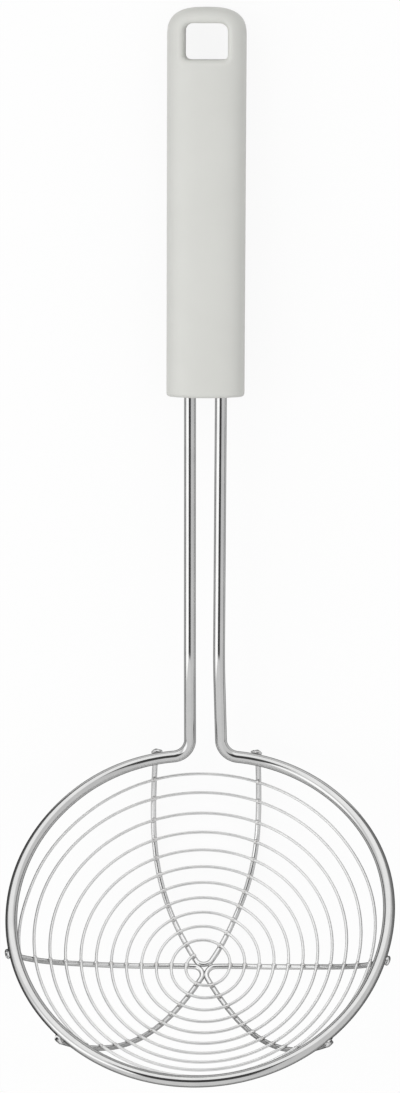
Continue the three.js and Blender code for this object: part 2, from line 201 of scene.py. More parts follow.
def round_wire(name, points, radius, sides, edge=CUT_EDGE, pressed=None):
    """A round wire along its centreline, with the edges of its cut ends rounded, and pressed if asked."""
    ways = swept_frames(points)[0]
    turns = np.linspace(0.0, math.pi / 2.0, CUT_EDGE_STEPS + 1)
    inset = edge * (1.0 - np.cos(turns))
    first_end = points[0] + ways[0] * inset[:, None]
    last_end = points[-1] - ways[-1] * inset[::-1, None]
    centres = np.vstack((first_end, points[1:-1], last_end))
    end_radii = radius - edge * (1.0 - np.sin(turns))
    radii = np.concatenate((end_radii, np.full(len(points) - 2, radius), end_radii[::-1]))
    ways, across, over = swept_frames(centres)
    angles = np.linspace(0.0, 2.0 * math.pi, sides, endpoint=False)
    spokes = np.cos(angles)[None, :, None] * across[:, None] + np.sin(angles)[None, :, None] * over[:, None]
    along = np.concatenate(([0.0], np.cumsum(np.linalg.norm(np.diff(centres, axis=0), axis=1))))
    if pressed is not None:
        sideways, wider, thinner = pressed(centres, along)
        sideways = unit(sideways - ways * (sideways * ways).sum(axis=1, keepdims=True))
        through = np.cross(ways, sideways)
        to_side = (spokes * sideways[:, None]).sum(axis=2) * wider[:, None]
        to_face = (spokes * through[:, None]).sum(axis=2) * thinner[:, None]
        spokes = to_side[..., None] * sideways[:, None] + to_face[..., None] * through[:, None]
    skin = centres[:, None] + radii[:, None, None] * spokes
    round_about = 2.0 * math.pi * radius * np.arange(sides + 1) / sides
    faces = []
    places = []
    for i in range(len(centres) - 1):
        for j in range(sides):
            k = (j + 1) % sides
            faces.append((i * sides + j, i * sides + k, (i + 1) * sides + k, (i + 1) * sides + j))
            places += ((along[i], round_about[j]), (along[i], round_about[j + 1]))
            places += ((along[i + 1], round_about[j + 1]), (along[i + 1], round_about[j]))
    last = (len(centres) - 1) * sides
    faces.append(tuple(range(sides))[::-1])
    faces.append(tuple(range(last, last + sides)))
    end_face = radius * np.column_stack((np.cos(angles), np.sin(angles)))
    places += [tuple(place) for place in end_face[::-1]] + [tuple(place) for place in end_face]
    mesh = bpy.data.meshes.new(name)
    mesh.from_pydata(as_it_lies(skin.reshape(-1, 3)).tolist(), [], faces)
    layer = mesh.uv_layers.new(name="drawn_length")
    layer.data.foreach_set("uv", (MM * np.array(places)).ravel())
    mesh.shade_smooth()
    return mesh


def add_piece(name, mesh, material):
    """A piece of the strainer, riding on its one body and finished with the material it is given."""
    piece = bpy.data.objects.new(name, mesh)
    bpy.context.scene.collection.objects.link(piece)
    mesh.materials.append(material)
    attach(piece, "root")
    return piece


def spread(tree, source, out_low, out_high):
    """A value of a noise, stretched from its usual span to another."""
    node = tree.nodes.new("ShaderNodeMapRange")
    node.inputs["From Min"].default_value = NOISE_LOW
    node.inputs["From Max"].default_value = NOISE_HIGH
    node.inputs["To Min"].default_value = out_low
    node.inputs["To Max"].default_value = out_high
    tree.links.new(source, node.inputs["Value"])
    return node.outputs["Result"]


def noise(tree, place, scale, detail=NOISE_DETAIL):
    """A cloud of noise at a place, with its grain per unit of that place."""
    node = tree.nodes.new("ShaderNodeTexNoise")
    node.inputs["Scale"].default_value = scale
    node.inputs["Detail"].default_value = detail
    tree.links.new(place, node.inputs["Vector"])
    return node.outputs["Fac"]


def two_tones(tree, share, first, second):
    """A colour between two tones."""
    node = tree.nodes.new("ShaderNodeMix")
    node.data_type = "RGBA"
    node.inputs[MIX_COLOUR_A].default_value = (*first, 1.0)
    node.inputs[MIX_COLOUR_B].default_value = (*second, 1.0)
    tree.links.new(share, node.inputs["Factor"])
    return node.outputs[MIX_COLOUR_RESULT]


def drawn_steel(name, bright, dull, roughness, line_relief, edge_tint):
    """Stainless wire: faint lines along its length from the drawing die, and cloudy polishing."""
    material = bpy.data.materials.new(name)
    material.use_nodes = True
    tree = material.node_tree
    shader = tree.nodes["Principled BSDF"]
    shader.inputs["Metallic"].default_value = 1.0
    shader.inputs["Specular Tint"].default_value = (edge_tint, edge_tint, edge_tint, 1.0)
    where = tree.nodes.new("ShaderNodeTexCoord")
    stretch = tree.nodes.new("ShaderNodeMapping")
    stretch.inputs["Scale"].default_value = DRAWN_LINE_SCALE
    tree.links.new(where.outputs["UV"], stretch.inputs["Vector"])
    lines = noise(tree, stretch.outputs["Vector"], 1.0)
    clouds = noise(tree, where.outputs["Object"], POLISH_CLOUD_SCALE)
    tone = two_tones(tree, spread(tree, clouds, 0.0, 1.0), bright, dull)
    tree.links.new(tone, shader.inputs["Base Color"])
    tree.links.new(spread(tree, lines, *roughness), shader.inputs["Roughness"])
    bump = tree.nodes.new("ShaderNodeBump")
    bump.inputs["Strength"].default_value = line_relief
    bump.inputs["Distance"].default_value = DRAWN_LINE_DEPTH * MM
    tree.links.new(lines, bump.inputs["Height"])
    tree.links.new(bump.outputs["Normal"], shader.inputs["Normal"])
    return material


right_half, HANDLE_ENTRY = frame_half()
frame_line = out_of_round(mirrored(right_half))
frame_mesh = round_wire("frame_wire_bent", frame_line, FRAME_WIRE_RADIUS, FRAME_WIRE_SIDES)
frame_steel = drawn_steel(
    "frame_steel", POLISHED_STEEL, POLISHED_STEEL_DULL, POLISHED_ROUGHNESS,
    POLISHED_LINE_RELIEF, POLISHED_EDGE_TINT
)
frame_piece = add_piece("frame_wire_bent", frame_mesh, frame_steel)
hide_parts("frame_wire")

# The rib wires: three alike stainless wires that carry the bowl, each bent to a V with a round point and
# pressed to the bowl's curve, never quite alike. Their points meet under the middle, and each end comes
# up outside the ring and is welded there with so much pressure that it spreads into a small button.
RIB_WIRE_RADIUS = 0.9
RIB_NAMES = ("rib_wire_back", "rib_wire_left", "rib_wire_right")
BOWL_DEPTH = 37.4
BOWL_WALL_ANGLE = math.radians(59.0)
RIB_POINT_RADIUS = 3.2
RIB_POINT_HALF_ANGLE = math.radians(35.5)
RIB_END_HALF_ANGLE = math.radians(15.8)
RIB_END_RISE = math.radians(-8.0)
RING_WELD_SINK = 0.25
POINT_WELD_SINK = 0.15
RIB_WIRE_SIDES = 16
RIB_POINT_STEPS = 12
RIB_LEG_STEPS = 70
RIB_WRAP_STEPS = 14
RIB_CUT_EDGE = 0.85
RIB_LEG_SWAY = 0.55
RIB_SETS = (0.9, 0.7, -0.45)
RIB_SET_AT_POINT = 0.45
RIB_SET_GROWTH = 0.35
RIB_SET_FADE_POWER = 4
RIB_END_SPREADS = ((-0.3, -0.7), (1.3, 1.1), (1.4, 0.0))
BUTTON_LENGTH = 4.6
BUTTON_WIDTH = 1.8
BUTTON_THICKNESS = 1.05
BUTTON_SLANT = 0.9
BUTTON_FULLNESS = 2.2
RIB_STEEL = (0.68, 0.68, 0.68)
RIB_STEEL_DULL = (0.60, 0.60, 0.60)
RIB_ROUGHNESS = (0.12, 0.2)
RIB_LINE_RELIEF = 0.15
RIB_EDGE_TINT = 0.05

wrap_radius = FRAME_WIRE_RADIUS + RIB_WIRE_RADIUS - RING_WELD_SINK
wrap_start = BOWL_WALL_ANGLE - math.pi / 2.0
wall_top_r = RING_RADIUS + wrap_radius * math.cos(wrap_start)
wall_top_z = wrap_radius * math.sin(wrap_start)
wall_slope = math.tan(BOWL_WALL_ANGLE)
bowl_c4 = (wall_top_r * wall_slope / 2.0 - wall_top_z - BOWL_DEPTH) / wall_top_r ** 4
bowl_c2 = wall_slope / (2.0 * wall_top_r) - 2.0 * bowl_c4 * wall_top_r ** 2

point_spacing = 2.0 * RIB_POINT_RADIUS + 2.0 * RIB_WIRE_RADIUS - POINT_WELD_SINK
point_centre = point_spacing / (2.0 * math.sin(math.pi / len(RIB_NAMES)))
leg_start_x = RIB_POINT_RADIUS * math.cos(RIB_POINT_HALF_ANGLE)
leg_start_y = point_centre - RIB_POINT_RADIUS * math.sin(RIB_POINT_HALF_ANGLE)
tip_radius = RING_RADIUS + wrap_radius * math.cos(RIB_END_RISE)
leg_reach = tip_radius * math.cos(RIB_END_HALF_ANGLE) - leg_start_y
leg_spread = tip_radius * math.sin(RIB_END_HALF_ANGLE) - leg_start_x
leg_power = math.tan(RIB_POINT_HALF_ANGLE) * leg_reach / leg_spread


def bowl_height(r):
    """How high the ribs' middle line lies at a distance from the bowl's axis."""
    return -BOWL_DEPTH + bowl_c2 * r ** 2 + bowl_c4 * r ** 4


def bowl_angle(r):
    """How steeply the ribs rise there."""
    return np.arctan(2.0 * bowl_c2 * r + 4.0 * bowl_c4 * r ** 3)


def leg_side(y):
    """How far a rib's leg stands from the rib's own axis."""
    left = np.clip(1.0 - (y - leg_start_y) / leg_reach, 0.0, None)
    return leg_start_x + leg_spread * (1.0 - left ** leg_power)


def up_the_leg(r):
    """How far up a rib's leg a distance from the bowl's axis is, as a share of its climb to the ring."""
    start = math.hypot(leg_start_x, leg_start_y)
    return np.clip((r - start) / (wall_top_r - start), 0.0, 1.0)


def leg_at(r):
    """Where a rib's right leg is, seen from above, at a distance from the bowl's axis."""
    y = np.array(r, dtype=float)
    for _ in range(REPEATS_TO_SETTLE):
        y = np.sqrt(r ** 2 - leg_side(y) ** 2)
    x = leg_side(y) - RIB_LEG_SWAY * np.sin(2.0 * math.pi * up_the_leg(r))
    return x, np.sqrt(r ** 2 - x ** 2)


def rib_half():
    """The right half of a rib, from its point under the middle, up the bowl and round the ring."""
    turns = np.linspace(0.0, math.pi / 2.0 - RIB_POINT_HALF_ANGLE, RIB_POINT_STEPS + 1)
    point_x = RIB_POINT_RADIUS * np.sin(turns)
    point_y = point_centre - RIB_POINT_RADIUS * np.cos(turns)
    point = np.column_stack((point_x, point_y, bowl_height(np.hypot(point_x, point_y))))
    radii = np.linspace(math.hypot(leg_start_x, leg_start_y), wall_top_r, RIB_LEG_STEPS + 1)[1:]
    leg = np.column_stack((*leg_at(radii), bowl_height(radii)))
    turns = np.linspace(wrap_start, RIB_END_RISE, RIB_WRAP_STEPS + 1)[1:]
    wrap = np.column_stack((*leg_at(RING_RADIUS + wrap_radius * np.cos(turns)), wrap_radius * np.sin(turns)))
    wrap[:, 0] -= BUTTON_SLANT * (turns - wrap_start) / (RIB_END_RISE - wrap_start)
    return np.vstack((point, leg, wrap))


def turned(points, angle):
    """Points turned about the bowl's axis."""
    cosine = math.cos(angle)
    sine = math.sin(angle)
    return np.asarray(points) @ np.array(((cosine, sine, 0.0), (-sine, cosine, 0.0), (0.0, 0.0, 1.0)))


def set_aside(r, rib_set):
    """How far aside a rib stands where it was set down a little askew, at a distance from the axis."""
    share = up_the_leg(r)
    grown = RIB_SET_AT_POINT + (1.0 - RIB_SET_AT_POINT) * eased(share / RIB_SET_GROWTH)
    return rib_set * (1.0 - share ** RIB_SET_FADE_POWER) * grown


def as_set(points, rib_set, end_spreads):
    """A rib as it was set down and welded: a little to one side, its right and left ends spread."""
    radii = np.hypot(points[:, 0], points[:, 1])
    spreads = np.where(points[:, 0] > 0.0, -end_spreads[0], end_spreads[1])
    moved = points.copy()
    moved[:, 0] -= set_aside(radii, rib_set)
    moved[:, :2] *= (radii / np.hypot(moved[:, 0], moved[:, 1]))[:, None] ** up_the_leg(radii)[:, None]
    angles = spreads / RING_RADIUS * eased(up_the_leg(radii))
    x = moved[:, 0] * np.cos(angles) - moved[:, 1] * np.sin(angles)
    y = moved[:, 0] * np.sin(angles) + moved[:, 1] * np.cos(angles)
    height = moved[:, 2] + bowl_height(np.hypot(x, y)) - bowl_height(radii)
    return np.column_stack((x, y, height))


def button_ends(centres, along):
    """How the welding electrode spreads a rib's two ends along the ring into buttons."""
    outward = unit(centres * (1.0, 1.0, 0.0))
    along_ring = np.cross((0.0, 0.0, 1.0), outward)
    from_end = np.minimum(along, along[-1] - along)
    share = eased(BUTTON_FULLNESS * (1.0 - from_end / BUTTON_LENGTH))
    return along_ring, 1.0 + share * (BUTTON_WIDTH - 1.0), 1.0 + share * (BUTTON_THICKNESS - 1.0)


rib_line = mirrored(rib_half())
rib_steel = drawn_steel(
    "rib_steel", RIB_STEEL, RIB_STEEL_DULL, RIB_ROUGHNESS, RIB_LINE_RELIEF, RIB_EDGE_TINT
)
for number, rib_name in enumerate(RIB_NAMES):
    rib_points = as_set(rib_line, RIB_SETS[number], RIB_END_SPREADS[number])
    rib_points = turned(rib_points, 2.0 * math.pi * number / len(RIB_NAMES))
    rib_mesh = round_wire(
        rib_name + "_pressed", rib_points, RIB_WIRE_RADIUS, RIB_WIRE_SIDES, RIB_CUT_EDGE, button_ends
    )
    rib_piece = add_piece(rib_name + "_pressed", rib_mesh, rib_steel)
    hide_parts(rib_name)

# The spiral wire: one thin stainless wire, wound cold into a little over eleven turns that widen evenly,
# and laid into the ribs from the inside. It starts on the back rib near the middle, ends on the left rib
# just under the ring, and is spot-welded to each rib leg that it crosses.
SPIRAL_WIRE_RADIUS = 0.5
SPIRAL_WHOLE_TURNS = 11
SPIRAL_INNER_RADIUS = 5.4
SPIRAL_RING_MARGIN = 1.7
SPIRAL_END_OVERHANG = 1.5
SPIRAL_START_OVERHANG = 0.4
SPIRAL_LAST_TURN = math.radians(195.0)
SPIRAL_PULL = 0.75
SPIRAL_FIRST_PULL_SPAN = 0.2
SPIRAL_SECOND_PULL_SPAN = 0.25
SPIRAL_LETTING_GO_SPAN = 0.16
SPIRAL_WELD_SINK = 0.15
SPIRAL_WIRE_SIDES = 12
SPIRAL_STEP = 1.6
SPIRAL_CUT_EDGE = 0.2
SPIRAL_STEEL = (0.76, 0.76, 0.755)
SPIRAL_STEEL_DULL = (0.70, 0.70, 0.70)
SPIRAL_ROUGHNESS = (0.36, 0.46)
SPIRAL_LINE_RELIEF = 0.15
SPIRAL_EDGE_TINT = 0.9

seat = RIB_WIRE_RADIUS + SPIRAL_WIRE_RADIUS - SPIRAL_WELD_SINK
spiral_outer_radius = RING_RADIUS - SPIRAL_RING_MARGIN
back_rib_axis = math.pi / 2.0
rib_pitch = 2.0 * math.pi / len(RIB_NAMES)


def leg_angle(r):
    """How far round the bowl a rib's leg stands from the rib's own axis."""
    return np.arctan2(*leg_at(r))


def spiral_height(r):
    """How high the spiral lies: on the ribs, a seat's height along their inward side."""
    under = np.array(r, dtype=float)
    for _ in range(REPEATS_TO_SETTLE):
        under = r + seat * np.sin(bowl_angle(under))
    return bowl_height(under) + seat * np.cos(bowl_angle(under))


spiral_start = back_rib_axis + leg_angle(SPIRAL_INNER_RADIUS) - SPIRAL_START_OVERHANG / SPIRAL_INNER_RADIUS
spiral_finish = (
    back_rib_axis + rib_pitch - leg_angle(spiral_outer_radius)
    + SPIRAL_END_OVERHANG / spiral_outer_radius + 2.0 * math.pi * SPIRAL_WHOLE_TURNS
)
spiral_gain = (spiral_outer_radius - SPIRAL_INNER_RADIUS) / (spiral_finish - spiral_start)


def spiral_radius(angle):
    """The spiral's distance from the axis: it widens evenly, but its last half turn was drawn in twice."""
    left = (spiral_finish - angle) / SPIRAL_LAST_TURN
    pulls = eased((1.0 - left) / SPIRAL_FIRST_PULL_SPAN) + eased((0.5 - left) / SPIRAL_SECOND_PULL_SPAN)
    drawn_in = SPIRAL_PULL * pulls * eased(left / SPIRAL_LETTING_GO_SPAN)
    return SPIRAL_INNER_RADIUS + spiral_gain * (angle - spiral_start) - drawn_in


def spiral_line(angles):
    """Points of the spiral's middle line at angles round the bowl's axis."""
    radii = spiral_radius(angles)
    return np.column_stack((radii * np.cos(angles), radii * np.sin(angles), spiral_height(radii)))


def spiral_angles():
    """Angles of the spiral's stations, a step apart along the wire and closer in its tight first turns."""
    angles = [spiral_start]
    while angles[-1] < spiral_finish:
        angles.append(angles[-1] + SPIRAL_STEP / max(spiral_radius(angles[-1]), 2.0 * SPIRAL_INNER_RADIUS))
    shrink = (spiral_finish - spiral_start) / (angles[-1] - spiral_start)
    return spiral_start + shrink * (np.array(angles) - spiral_start)


spiral_points = spiral_line(spiral_angles())
spiral_mesh = round_wire(
    "spiral_wire_wound", spiral_points, SPIRAL_WIRE_RADIUS, SPIRAL_WIRE_SIDES, SPIRAL_CUT_EDGE
)
spiral_steel = drawn_steel(
    "spiral_steel", SPIRAL_STEEL, SPIRAL_STEEL_DULL, SPIRAL_ROUGHNESS, SPIRAL_LINE_RELIEF, SPIRAL_EDGE_TINT
)
spiral_piece = add_piece("spiral_wire_wound", spiral_mesh, spiral_steel)
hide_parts("spiral_wire")

# The spot welds: nothing is added to make them. Where the spiral is pressed onto a rib leg, a rib end onto
# the ring and the ribs' points onto each other, the current melts a little of both wires, and the spot
# sets as a low, rounded bead that closes the corner between them.
SPOT_WELD_RADII = (1.0, 0.85, 0.54)
RING_WELD_RADII = (1.75, 1.1, 0.5)
POINT_WELD_RADII = (0.9, 0.5, 0.5)
WELD_SIDES = 12
WELD_STEPS = 6
WELD_STEEL = (0.70, 0.70, 0.70)
WELD_STEEL_DULL = (0.58, 0.57, 0.56)
WELD_ROUGHNESS = (0.26, 0.42)
WELD_LINE_RELIEF = 0.0
WELD_EDGE_TINT = 0.4


def radial_frame(angle, slope):
    """Three directions at a place in the bowl: round it, up its side, and out of its underside."""
    way_out = np.array((math.cos(angle), math.sin(angle), 0.0))
    round_it = np.array((-math.sin(angle), math.cos(angle), 0.0))
    up_side = math.cos(slope) * way_out + math.sin(slope) * np.array((0.0, 0.0, 1.0))
    return np.array((round_it, up_side, np.cross(round_it, up_side)))


def spiral_welds():
    """Where the spiral crosses the six rib legs, turn after turn."""
    for number, rib_set in enumerate(RIB_SETS):
        for side, end_spread in zip((-1.0, 1.0), RIB_END_SPREADS[number]):
            for turn in range(SPIRAL_WHOLE_TURNS + 2):
                rib_axis = back_rib_axis + rib_pitch * number + 2.0 * math.pi * turn
                angle = rib_axis
                for _ in range(REPEATS_TO_SETTLE):
                    radius = max(float(spiral_radius(angle)), SPIRAL_INNER_RADIUS)
                    spread_angle = end_spread / RING_RADIUS * float(eased(up_the_leg(radius)))
                    leg = side * (float(leg_angle(radius)) + spread_angle)
                    angle = rib_axis + leg + float(set_aside(radius, rib_set)) / radius
                if spiral_start <= angle <= spiral_finish:
                    yield spiral_line(np.array([angle]))[0], radial_frame(angle, float(bowl_angle(radius)))


def ring_welds():
    """Where the rib ends lie against the ring's outer side."""
    turn = (wrap_start + RIB_END_RISE) / 2.0
    radius = RING_RADIUS + FRAME_WIRE_RADIUS * math.cos(turn)
    aside = float(leg_angle(radius)) - BUTTON_SLANT / 2.0 / radius
    for number in range(len(RIB_NAMES)):
        for side, end_spread in zip((-1.0, 1.0), RIB_END_SPREADS[number]):
            angle = back_rib_axis + rib_pitch * number + side * (aside + end_spread / RING_RADIUS)
            place = (radius * math.cos(angle), radius * math.sin(angle), FRAME_WIRE_RADIUS * math.sin(turn))
            yield np.array(place), radial_frame(angle, turn + math.pi / 2.0)


def point_welds():
    """Where the ribs' round points touch each other under the middle."""
    radius = point_centre / 2.0
    for number in range(len(RIB_NAMES)):
        angle = back_rib_axis + rib_pitch * (number + 0.5)
        place = (radius * math.cos(angle), radius * math.sin(angle), float(bowl_height(radius)))
        yield np.array(place), radial_frame(angle + math.pi / 2.0, 0.0)


def weld_beads(name, groups):
    """Low rounded beads, each at its place and along its own three directions."""
    heights = np.linspace(0.0, math.pi, WELD_STEPS + 1)[1:-1]
    angles = np.linspace(0.0, 2.0 * math.pi, WELD_SIDES, endpoint=False)
    rings = [np.column_stack((np.cos(angles) * math.sin(h), np.sin(angles) * math.sin(h),
                              np.full(WELD_SIDES, math.cos(h)))) for h in heights]
    ball = np.vstack([[(0.0, 0.0, 1.0)]] + rings + [[(0.0, 0.0, -1.0)]])
    last = len(ball) - 1
    ball_faces = []
    for j in range(WELD_SIDES):
        k = (j + 1) % WELD_SIDES
        ball_faces.append((0, 1 + j, 1 + k))
        for i in range(WELD_STEPS - 2):
            low = 1 + i * WELD_SIDES
            high = low + WELD_SIDES
            ball_faces.append((low + j, high + j, high + k, low + k))
        ball_faces.append((last, last - WELD_SIDES + k, last - WELD_SIDES + j))
    points = []
    faces = []
    for radii, places in groups:
        for place, directions in places:
            faces += [tuple(len(points) * len(ball) + index for index in face) for face in ball_faces]
            points.append(place + (ball * radii) @ directions)
    mesh = bpy.data.meshes.new(name)
    mesh.from_pydata(as_it_lies(np.vstack(points)).tolist(), [], faces)
    mesh.uv_layers.new(name="drawn_length")
    mesh.shade_smooth()
    return mesh


weld_mesh = weld_beads("spot_welds", (
    (SPOT_WELD_RADII, spiral_welds()), (RING_WELD_RADII, ring_welds()), (POINT_WELD_RADII, point_welds())
))
weld_steel = drawn_steel(
    "weld_steel", WELD_STEEL, WELD_STEEL_DULL, WELD_ROUGHNESS, WELD_LINE_RELIEF, WELD_EDGE_TINT
)
add_piece("spot_welds", weld_mesh, weld_steel)

# The handle: one solid moulding in off-white matt plastic, oval in section and a touch wider at its
# rounded end, with a hanging hole whose lips are softened. It is moulded onto the shanks' two tangs, so
# the plastic closes round the wires where they go in.
HANDLE_LENGTH = 131.4
HANDLE_HALF_WIDTH_AT_SHANKS = 13.1
HANDLE_HALF_WIDTH_AT_END = 13.35
HANDLE_HALF_THICKNESS = 9.75
HANDLE_SECTION_POWER = 2.6
HANDLE_END_LENGTH = 10.0
HANDLE_END_POWER = 2.8
HANDLE_FACE_BOW = 0.5
HANDLE_EDGE_FILLET = 1.2
HOLE_HALF_WIDTH = 7.35
HOLE_HEIGHT = 12.25
HOLE_WALL = 5.45
HOLE_DRAFT = math.radians(0.8)
HOLE_FAR_CORNER = 2.8
HOLE_NEAR_CORNER = 1.8
HOLE_LIP = 2.2
HOLE_LEAN = math.radians(3.0)
BORE_CLEARANCE = 0.03
BORE_END_CLEARANCE = 0.3
BORE_LIP = 0.35
SKIN_STEP = 0.55
SKIN_STEPS_BEFORE = 1.5
SKIN_STEPS_AFTER = 2.0
SKIN_SETTLES = 6
SKIN_SMOOTHING = 0.5
SKIN_PULLS = 3
CELL_CORNERS = 8
SLOPE_STEP = 0.02
GENTLEST_SLOPE = 0.25
NEAR_AXIS = 1e-9
PLASTIC = (0.705, 0.708, 0.675)
PLASTIC_SHADE = (0.685, 0.688, 0.655)
PLASTIC_ROUGHNESS = (0.42, 0.56)
PLASTIC_IOR = 1.49
PLASTIC_CLOUD_SCALE = 60.0
PLASTIC_GRAIN_SCALE = 2600.0
PLASTIC_GRAIN_DETAIL = 2.0
PLASTIC_GRAIN_RELIEF = 0.25
PLASTIC_GRAIN_DEPTH = 0.03


def softened(first, second, radius):
    """Depth inside both of two forms, with the edge where they meet rounded."""
    beyond = np.hypot(np.maximum(first + radius, 0.0), np.maximum(second + radius, 0.0))
    return np.minimum(np.maximum(first, second), -radius) + beyond


def handle_depth(points):
    """How far points lie outside the handle's skin, or inside it where the value is negative."""
    x = np.abs(points[..., 0])
    y = points[..., 1]
    z = np.abs(points[..., 2])
    end_start = HANDLE_LENGTH - HANDLE_END_LENGTH
    share = np.clip(y / end_start, 0.0, 1.0)
    widening = HANDLE_HALF_WIDTH_AT_END - HANDLE_HALF_WIDTH_AT_SHANKS
    half_width = HANDLE_HALF_WIDTH_AT_SHANKS + share * widening
    wide = x / half_width
    thick = z / HANDLE_HALF_THICKNESS
    oval = np.maximum(wide ** HANDLE_SECTION_POWER + thick ** HANDLE_SECTION_POWER, NEAR_AXIS)
    oval = oval ** (1.0 / HANDLE_SECTION_POWER)
    closing = np.clip((y - end_start) / HANDLE_END_LENGTH, 0.0, None)
    shell = (oval ** HANDLE_END_POWER + closing ** HANDLE_END_POWER) ** (1.0 / HANDLE_END_POWER)
    flank = (oval / shell) ** (HANDLE_END_POWER - 1.0)
    slope_x = flank * (wide / oval) ** (HANDLE_SECTION_POWER - 1.0) / half_width
    slope_z = flank * (thick / oval) ** (HANDLE_SECTION_POWER - 1.0) / HANDLE_HALF_THICKNESS
    slope_y = (closing / shell) ** (HANDLE_END_POWER - 1.0) / HANDLE_END_LENGTH
    outside = (shell - 1.0) / np.sqrt(slope_x ** 2 + slope_y ** 2 + slope_z ** 2)
    body = softened(outside, HANDLE_FACE_BOW * wide ** 2 - y, HANDLE_EDGE_FILLET)

    hole_middle = HANDLE_LENGTH - HOLE_WALL - HOLE_HEIGHT / 2.0
    corner = np.where(y > hole_middle, HOLE_FAR_CORNER, HOLE_NEAR_CORNER)
    flare = z * math.tan(HOLE_DRAFT)
    past_side = x - HOLE_HALF_WIDTH - flare + corner
    from_middle = y - hole_middle + points[..., 2] * math.tan(HOLE_LEAN)
    past_end = np.abs(from_middle) - HOLE_HEIGHT / 2.0 - flare + corner
    past_corner = np.hypot(np.maximum(past_side, 0.0), np.maximum(past_end, 0.0))
    hole = past_corner + np.minimum(np.maximum(past_side, past_end), 0.0) - corner
    body = softened(body, -hole, HOLE_LIP)

    bore = np.hypot(x - SHANK_X_IN_HANDLE, z) - FRAME_WIRE_RADIUS - BORE_CLEARANCE
    bore = np.maximum(bore, y - TANG_LENGTH - BORE_END_CLEARANCE)
    return softened(body, -bore, BORE_LIP)


def depth_slope(points):
    """The way out of the handle at points near its skin."""
    slope = np.empty_like(points)
    for axis in range(3):
        shift = np.zeros(3)
        shift[axis] = SLOPE_STEP
        slope[:, axis] = (handle_depth(points + shift) - handle_depth(points - shift)) / (2.0 * SLOPE_STEP)
    return slope


def moulded_skin():
    """An even skin of four-sided faces over the handle, with its points settled onto the true form."""
    lows = (-HANDLE_HALF_WIDTH_AT_END, 0.0, -HANDLE_HALF_THICKNESS)
    highs = (HANDLE_HALF_WIDTH_AT_END, HANDLE_LENGTH, HANDLE_HALF_THICKNESS)
    axes = []
    for low, high in zip(lows, highs):
        first = low - SKIN_STEPS_BEFORE * SKIN_STEP
        axes.append(np.arange(first, high + SKIN_STEPS_AFTER * SKIN_STEP, SKIN_STEP))
    grid = np.stack(np.meshgrid(*axes, indexing="ij"), axis=-1)
    inside = handle_depth(grid) < 0.0
    nx, ny, nz = inside.shape
    filled = np.zeros((nx - 1, ny - 1, nz - 1), dtype=int)
    for i in range(2):
        for j in range(2):
            for k in range(2):
                filled += inside[i:nx - 1 + i, j:ny - 1 + j, k:nz - 1 + k]
    on_skin = (filled > 0) & (filled < CELL_CORNERS)
    number = np.full(filled.shape, -1)
    number[on_skin] = np.arange(on_skin.sum())
    points = grid[:-1, :-1, :-1][on_skin] + SKIN_STEP / 2.0
    faces = []
    for axis in range(3):
        before = np.take(inside, range(inside.shape[axis] - 1), axis)
        after = np.take(inside, range(1, inside.shape[axis]), axis)
        place = np.argwhere(before != after)
        one = np.zeros(3, dtype=int)
        one[(axis + 1) % 3] = 1
        two = np.zeros(3, dtype=int)
        two[(axis + 2) % 3] = 1
        cells = [place - one - two, place - two, place, place - one]
        quads = np.column_stack([number[tuple(cell.T)] for cell in cells])
        going_out = before[tuple(place.T)]
        faces.append(np.where(going_out[:, None], quads, quads[:, ::-1]))
    faces = np.vstack(faces)
    sides = np.vstack([faces[:, (i, (i + 1) % 4)] for i in range(4)])
    for _ in range(SKIN_SETTLES):
        total = np.zeros_like(points)
        count = np.zeros(len(points))
        np.add.at(total, sides[:, 0], points[sides[:, 1]])
        np.add.at(count, sides[:, 0], 1.0)
        points = (1.0 - SKIN_SMOOTHING) * points + SKIN_SMOOTHING * total / count[:, None]
        for _ in range(SKIN_PULLS):
            slope = depth_slope(points)
            steep = np.maximum((slope ** 2).sum(axis=1), GENTLEST_SLOPE)
            points = points - slope * (handle_depth(points) / steep)[:, None]
    return points, faces


def in_ring_frame(points):
    """Points of the handle's own frame, moved to where the shanks enter it."""
    cosine = math.cos(HANDLE_RISE)
    sine = math.sin(HANDLE_RISE)
    tilt = np.array(((1.0, 0.0, 0.0), (0.0, cosine, sine), (0.0, -sine, cosine)))
    return points @ tilt + HANDLE_ENTRY * (0.0, 1.0, 1.0)


def matt_plastic():
    """Off-white moulded plastic: a slightly uneven tone and a very fine grain from the mould."""
    material = bpy.data.materials.new("handle_plastic")
    material.use_nodes = True
    tree = material.node_tree
    shader = tree.nodes["Principled BSDF"]
    shader.inputs["IOR"].default_value = PLASTIC_IOR
    where = tree.nodes.new("ShaderNodeTexCoord").outputs["Object"]
    clouds = noise(tree, where, PLASTIC_CLOUD_SCALE)
    grain = noise(tree, where, PLASTIC_GRAIN_SCALE, PLASTIC_GRAIN_DETAIL)
    tone = two_tones(tree, spread(tree, clouds, 0.0, 1.0), PLASTIC, PLASTIC_SHADE)
    tree.links.new(tone, shader.inputs["Base Color"])
    tree.links.new(spread(tree, grain, *PLASTIC_ROUGHNESS), shader.inputs["Roughness"])
    bump = tree.nodes.new("ShaderNodeBump")
    bump.inputs["Strength"].default_value = PLASTIC_GRAIN_RELIEF
    bump.inputs["Distance"].default_value = PLASTIC_GRAIN_DEPTH * MM
    tree.links.new(grain, bump.inputs["Height"])
    tree.links.new(bump.outputs["Normal"], shader.inputs["Normal"])
    return material


